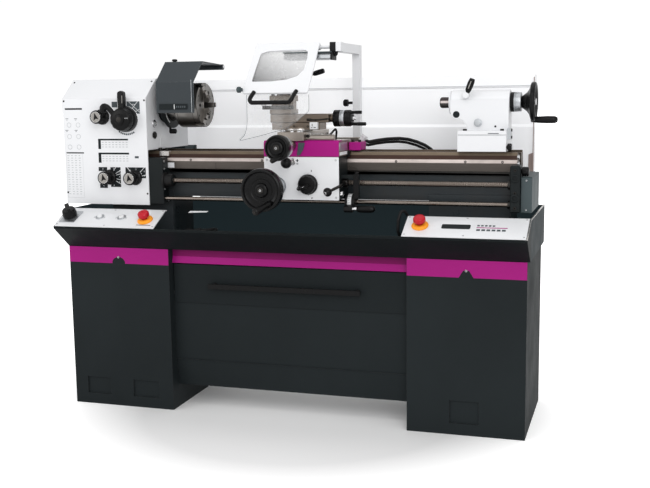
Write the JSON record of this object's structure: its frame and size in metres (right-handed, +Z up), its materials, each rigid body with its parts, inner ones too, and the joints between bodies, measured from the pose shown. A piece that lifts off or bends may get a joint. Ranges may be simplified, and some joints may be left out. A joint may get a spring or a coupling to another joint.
{
  "type": "metal lathe",
  "caption": "Gear-head metal turning lathe on two floor cabinets, with chip tray, slide-out drawer, jaw chuck and guard, carriage with compound slide and chip shield, and tailstock.",
  "frame": {"origin": "on the floor, under the middle of the whole machine’s bounding box", "axes": "+X from the headstock to the tailstock, -Y the operator’s side, +Z up"},
  "size_m": [1.802, 0.8134, 1.3347],
  "materials": {
    "dark_paint": "dark anthracite enamel, slightly textured",
    "white_paint": "smooth light grey-white enamel",
    "grey_paint": "grey enamel",
    "guard_paint": "grey powder coat",
    "magenta_paint": "magenta enamel",
    "ground_steel": "ground cast iron",
    "bright_steel": "bright turned steel",
    "chuck_steel": "oiled, ground steel",
    "black_plastic": "glossy black moulding",
    "red_plastic": "red push button",
    "white_plastic": "white push button",
    "clear_plastic": "clear polycarbonate"
  },
  "bodies": {
    "machine": {"left_cabinet": "dark_paint", "right_cabinet": "dark_paint", "center_panel": "dark_paint", "chip_tray": "dark_paint", "left_console_panel": "white_paint", "right_console_panel": "white_paint", "bed": "ground_steel", "rack": "ground_steel", "headstock_housing": "white_paint", "headstock_front_cover": "white_paint", "end_gear_cover": "white_paint", "feed_gearbox": "dark_paint", "bearing_cover": "dark_paint", "leadscrew_bracket": "dark_paint", "bed_end_box": "grey_paint", "splash_guard": "white_paint", "motor": "grey_paint"},
    "drawer": {"chip_drawer": "dark_paint", "drawer_handle": "black_plastic"},
    "main_switch": {"main_switch_knob": "black_plastic"},
    "estop_left": {"estop_button_left": "red_plastic"},
    "estop_right": {"estop_button_right": "red_plastic"},
    "coolant_switch": {"coolant_button": "white_plastic"},
    "light_switch": {"light_button": "white_plastic"},
    "spindle_group": {"spindle": "bright_steel", "chuck_body": "chuck_steel", "input_pulley": "grey_paint"},
    "jaw_1": {"chuck_jaw_1": "chuck_steel"},
    "jaw_2": {"chuck_jaw_2": "chuck_steel"},
    "jaw_3": {"chuck_jaw_3": "chuck_steel"},
    "motor_drive": {"motor_pulley": "grey_paint"},
    "guard": {"chuck_guard": "guard_paint"},
    "speed_selector": {"speed_lever": "black_plastic"},
    "range_selector": {"range_lever": "black_plastic"},
    "feed_direction": {"feed_direction_knob": "black_plastic"},
    "gearbox_left": {"gearbox_knob_left": "black_plastic"},
    "gearbox_right": {"gearbox_knob_right": "black_plastic"},
    "carriage": {"saddle": "magenta_paint", "apron": "dark_paint", "shield_post": "white_paint"},
    "carriage_wheel": {"carriage_handwheel": "black_plastic"},
    "cross": {"cross_slide": "ground_steel"},
    "cross_wheel": {"cross_handwheel": "black_plastic"},
    "compound": {"compound_base": "ground_steel"},
    "top": {"top_slide": "ground_steel"},
    "top_handle": {"top_slide_handle": "black_plastic"},
    "toolpost": {"tool_post": "ground_steel"},
    "toolpost_lever": {"tool_post_lever": "black_plastic"},
    "half_nut": {"half_nut_lever": "black_plastic"},
    "feed_dial": {"feed_selector_dial": "black_plastic"},
    "feed_push": {"feed_push_knob": "black_plastic"},
    "control": {"control_lever": "black_plastic"},
    "lower_rod": {"control_rod": "bright_steel"},
    "upper_screw": {"leadscrew": "bright_steel"},
    "shield": {"shield_frame": "white_paint", "shield_deflector": "clear_plastic"},
    "tailstock": {"tailstock_body": "white_paint"},
    "quill": {"tailstock_quill": "bright_steel"},
    "tail_wheel": {"tailstock_handwheel": "black_plastic"},
    "tail_clamp": {"tailstock_clamp_lever": "black_plastic"}
  },
  "joints": [
    {"name": "drawer_slide", "type": "slide", "parent": "machine", "child": "drawer", "axis": [0, -1, 0], "range_m": [0, 0.33]},
    {"name": "main_switch_turn", "type": "hinge", "parent": "machine", "child": "main_switch", "pos_m": [-0.831, -0.21931, 0.72569], "axis": [0, -0.4507, 0.8927], "range_deg": [0, 90]},
    {"name": "estop_left_press", "type": "slide", "parent": "machine", "child": "estop_left", "axis": [0, 0.4507, -0.8927], "range_m": [0, 0.006]},
    {"name": "estop_right_press", "type": "slide", "parent": "machine", "child": "estop_right", "axis": [0, 0.4507, -0.8927], "range_m": [0, 0.006]},
    {"name": "coolant_press", "type": "slide", "parent": "machine", "child": "coolant_switch", "axis": [0, 0.4507, -0.8927], "range_m": [0, 0.003]},
    {"name": "light_press", "type": "slide", "parent": "machine", "child": "light_switch", "axis": [0, 0.4507, -0.8927], "range_m": [0, 0.003]},
    {"name": "spindle_spin", "type": "hinge", "parent": "machine", "child": "spindle_group", "pos_m": [-0.671, 0.02919, 1.123], "axis": [1, 0, 0], "continuous": true},
    {"name": "jaw_1_slide", "type": "slide", "parent": "spindle_group", "child": "jaw_1", "axis": [0, 1, 0], "range_m": [-0.012, 0.022]},
    {"name": "jaw_2_slide", "type": "slide", "parent": "spindle_group", "child": "jaw_2", "axis": [0, -0.5, 0.866], "range_m": [-0.012, 0.022]},
    {"name": "jaw_3_slide", "type": "slide", "parent": "spindle_group", "child": "jaw_3", "axis": [0, -0.5, -0.866], "range_m": [-0.012, 0.022]},
    {"name": "motor_spin", "type": "hinge", "parent": "machine", "child": "motor_drive", "pos_m": [-0.851, 0.32669, 0.9], "axis": [1, 0, 0], "continuous": true},
    {"name": "guard_hinge", "type": "hinge", "parent": "machine", "child": "guard", "pos_m": [-0.446, 0.17869, 1.2655], "axis": [-1, 0, 0], "range_deg": [0, 80]},
    {"name": "speed_lever_turn", "type": "hinge", "parent": "machine", "child": "speed_selector", "pos_m": [-0.635, -0.12371, 1.076], "axis": [0, 1, 0], "range_deg": [-45, 45]},
    {"name": "range_lever_turn", "type": "hinge", "parent": "machine", "child": "range_selector", "pos_m": [-0.635, -0.12371, 1.076], "axis": [0, 1, 0], "range_deg": [0, 60]},
    {"name": "feed_direction_turn", "type": "hinge", "parent": "machine", "child": "feed_direction", "pos_m": [-0.735, -0.12371, 1.0855], "axis": [0, 1, 0], "range_deg": [-45, 45]},
    {"name": "gearbox_left_turn", "type": "hinge", "parent": "machine", "child": "gearbox_left", "pos_m": [-0.714, -0.12371, 0.8625], "axis": [0, 1, 0], "range_deg": [-135, 135]},
    {"name": "gearbox_right_turn", "type": "hinge", "parent": "machine", "child": "gearbox_right", "pos_m": [-0.6095, -0.12371, 0.862], "axis": [0, 1, 0], "range_deg": [-90, 90]},
    {"name": "carriage_wheel_turn", "type": "hinge", "parent": "carriage", "child": "carriage_wheel", "pos_m": [-0.035, -0.17381, 0.843], "axis": [0, -1, 0], "range_deg": [-4501, 4501]},
    {"name": "carriage_slide", "type": "slide", "parent": "machine", "child": "carriage", "axis": [-1, 0, 0], "range_m": [-0.25, 0.25]},
    {"name": "cross_wheel_turn", "type": "hinge", "parent": "carriage", "child": "cross_wheel", "pos_m": [0.025, -0.23781, 0.984], "axis": [0, -1, 0], "range_deg": [-6301, 4501]},
    {"name": "cross_feed", "type": "slide", "parent": "carriage", "child": "cross", "axis": [0, -1, 0], "range_m": [-0.07, 0.05]},
    {"name": "compound_swivel", "type": "hinge", "parent": "cross", "child": "compound", "pos_m": [0.014, -0.06831, 1.0305], "axis": [0, 0, 1], "range_deg": [-45, 35]},
    {"name": "top_handle_turn", "type": "hinge", "parent": "top", "child": "top_handle", "pos_m": [0.159, -0.06831, 1.074], "axis": [1, 0, 0], "range_deg": [-4801, 3601]},
    {"name": "top_slide_feed", "type": "slide", "parent": "compound", "child": "top", "axis": [1, 0, 0], "range_m": [-0.04, 0.03]},
    {"name": "tool_post_turn", "type": "hinge", "parent": "top", "child": "toolpost", "pos_m": [-0.041, -0.06831, 1.12], "axis": [0, 0, 1], "continuous": true},
    {"name": "tool_post_lever_turn", "type": "hinge", "parent": "top", "child": "toolpost_lever", "pos_m": [-0.041, -0.06831, 1.1665], "axis": [0, 0, 1], "range_deg": [-20, 60]},
    {"name": "half_nut_turn", "type": "hinge", "parent": "carriage", "child": "half_nut", "pos_m": [0.202, -0.13331, 0.854], "axis": [-1, 0, 0], "range_deg": [0, 25]},
    {"name": "feed_dial_turn", "type": "hinge", "parent": "carriage", "child": "feed_dial", "pos_m": [0.08, -0.17331, 0.851], "axis": [0, 1, 0], "range_deg": [-60, 60]},
    {"name": "feed_knob_pull", "type": "slide", "parent": "carriage", "child": "feed_push", "axis": [0, -1, 0], "range_m": [0, 0.012]},
    {"name": "control_lever_turn", "type": "hinge", "parent": "carriage", "child": "control", "pos_m": [0.214, -0.10331, 0.7855], "axis": [1, 0, 0], "range_deg": [-15, 15]},
    {"name": "control_rod_turn", "type": "hinge", "parent": "machine", "child": "lower_rod", "pos_m": [0.129, -0.10331, 0.7855], "axis": [1, 0, 0], "range_deg": [-15, 15]},
    {"name": "leadscrew_spin", "type": "hinge", "parent": "machine", "child": "upper_screw", "pos_m": [0.129, -0.10331, 0.852], "axis": [1, 0, 0], "continuous": true},
    {"name": "shield_swing", "type": "hinge", "parent": "carriage", "child": "shield", "pos_m": [-0.021, -0.08831, 1.318], "axis": [-1, 0, 0], "range_deg": [0, 75]},
    {"name": "tailstock_slide", "type": "slide", "parent": "machine", "child": "tailstock", "axis": [-1, 0, 0], "range_m": [0, 0.25]},
    {"name": "tail_wheel_turn", "type": "hinge", "parent": "tailstock", "child": "tail_wheel", "pos_m": [0.743, 0.02919, 1.123], "axis": [-1, 0, 0], "range_deg": [0, 7200]},
    {"name": "quill_feed", "type": "slide", "parent": "tailstock", "child": "quill", "axis": [-1, 0, 0], "range_m": [0, 0.1]},
    {"name": "tail_clamp_turn", "type": "hinge", "parent": "tailstock", "child": "tail_clamp", "pos_m": [0.597, -0.01881, 1.148], "axis": [0, 1, 0], "range_deg": [-30, 30]}
  ],
  "couplings": [
    {"joint": "jaw_2_slide", "follows": "jaw_1_slide", "ratio": 1},
    {"joint": "jaw_3_slide", "follows": "jaw_1_slide", "ratio": 1},
    {"joint": "motor_spin", "follows": "spindle_spin", "ratio": 1.55},
    {"joint": "leadscrew_spin", "follows": "spindle_spin", "ratio": 0.25},
    {"joint": "carriage_wheel_turn", "follows": "carriage_slide", "rad_per_m": 314.16},
    {"joint": "cross_wheel_turn", "follows": "cross_feed", "rad_per_m": 1570.8},
    {"joint": "top_handle_turn", "follows": "top_slide_feed", "rad_per_m": 2094.4},
    {"joint": "quill_feed", "follows": "tail_wheel_turn", "m_per_rad": 0.00079577},
    {"joint": "control_rod_turn", "follows": "control_lever_turn", "ratio": 1}
  ]
}
